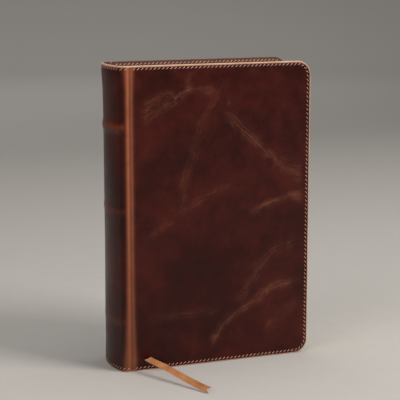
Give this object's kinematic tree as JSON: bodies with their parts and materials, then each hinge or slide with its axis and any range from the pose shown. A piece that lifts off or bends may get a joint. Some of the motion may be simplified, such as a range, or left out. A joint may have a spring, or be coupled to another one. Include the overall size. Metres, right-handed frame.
{
  "type": "bible",
  "caption": "Closed leather bound bible with stitched cover, rounded spine, raised bands, page block, hinged covers and a ribbon marker.",
  "frame": {"origin": "middle of the footprint of the closed book, on the surface that it stands on", "axes": "+X from the spine to the fore edge, +Y from the front cover to the back cover, +Z from tail to head"},
  "size_m": [0.1556, 0.1153, 0.228],
  "materials": {
    "cover_leather": "pull-up leather with a soft waxed sheen and lighter tan creases",
    "joint_leather": "the same leather, stretched pale along the joint",
    "lining_leather": "thin matt tan lining leather",
    "seam_thread": "waxed cream thread",
    "board": "plain pressed board",
    "kraft_paper": "brown kraft paper",
    "mull_cloth": "open-weave sized cotton",
    "linen_thread": "waxed linen thread",
    "end_band_silk": "striped silk end band",
    "endpaper": "heavy uncoated cream paper",
    "page_paper": "thin uncoated paper",
    "satin_ribbon": "soft satin ribbon"
  },
  "bodies": {
    "book": {"spine_leather": "cover_leather", "spine_stiffener": "board", "spine_lining": "lining_leather", "spine_stitching": "seam_thread", "upper_band": "board", "middle_band": "board", "lower_band": "board", "front_joint_leather": "joint_leather", "back_joint_leather": "joint_leather", "spine_hollow": "kraft_paper", "spine_liner": "kraft_paper", "mull": "mull_cloth", "sewing_thread": "linen_thread", "headband": "end_band_silk", "tailband": "end_band_silk", "ribbon_marker": "satin_ribbon", "ribbon_tail": "satin_ribbon", "gathering_01": "page_paper", "gathering_02": "page_paper", "gathering_03": "page_paper", "gathering_04": "page_paper", "gathering_05": "page_paper", "gathering_06": "page_paper", "gathering_07": "page_paper", "gathering_08": "page_paper", "gathering_09": "page_paper", "gathering_10": "page_paper", "gathering_11": "page_paper", "gathering_12": "page_paper", "gathering_13": "page_paper", "gathering_14": "page_paper", "gathering_15": "page_paper", "gathering_16": "page_paper"},
    "front_cover": {"front_cover_leather": "cover_leather", "front_board": "board", "front_lining": "lining_leather", "front_stitching": "seam_thread"},
    "back_cover": {"back_cover_leather": "cover_leather", "back_board": "board", "back_lining": "lining_leather", "back_stitching": "seam_thread"},
    "front_flyleaf": {"front_flyleaf": "endpaper"},
    "title_leaf": {"title_leaf": "page_paper"},
    "map_leaf": {"map_leaf": "page_paper"},
    "back_flyleaf": {"back_flyleaf": "endpaper"}
  },
  "joints": [
    {"name": "front_cover_hinge", "type": "hinge", "parent": "book", "child": "front_cover", "pos_m": [-0.06615, -0.0234, 0.114], "axis": [0, 0, -1], "range_deg": [0, 180], "deforming": ["ribbon_tail", "front_joint_leather"]},
    {"name": "back_cover_hinge", "type": "hinge", "parent": "book", "child": "back_cover", "pos_m": [-0.06615, 0.0234, 0.114], "axis": [0, 0, 1], "range_deg": [0, 180], "deforming": ["back_joint_leather"]},
    {"name": "front_flyleaf_turn", "type": "hinge", "parent": "book", "child": "front_flyleaf", "pos_m": [-0.06465, -0.01953, 0.114], "axis": [0, 0, -1], "range_deg": [0, 100]},
    {"name": "title_leaf_turn", "type": "hinge", "parent": "book", "child": "title_leaf", "pos_m": [-0.06465, -0.01918, 0.114], "axis": [0, 0, -1], "range_deg": [0, 52]},
    {"name": "map_leaf_turn", "type": "hinge", "parent": "book", "child": "map_leaf", "pos_m": [-0.06465, 0.01918, 0.114], "axis": [0, 0, 1], "range_deg": [0, 52]},
    {"name": "back_flyleaf_turn", "type": "hinge", "parent": "book", "child": "back_flyleaf", "pos_m": [-0.06465, 0.01953, 0.114], "axis": [0, 0, 1], "range_deg": [0, 100]}
  ],
  "couplings": [
    {"joint": "front_flyleaf_turn", "follows": "front_cover_hinge", "ratio": 0.55},
    {"joint": "title_leaf_turn", "follows": "front_cover_hinge", "ratio": 0.28},
    {"joint": "map_leaf_turn", "follows": "back_cover_hinge", "ratio": 0.28},
    {"joint": "back_flyleaf_turn", "follows": "back_cover_hinge", "ratio": 0.55}
  ]
}
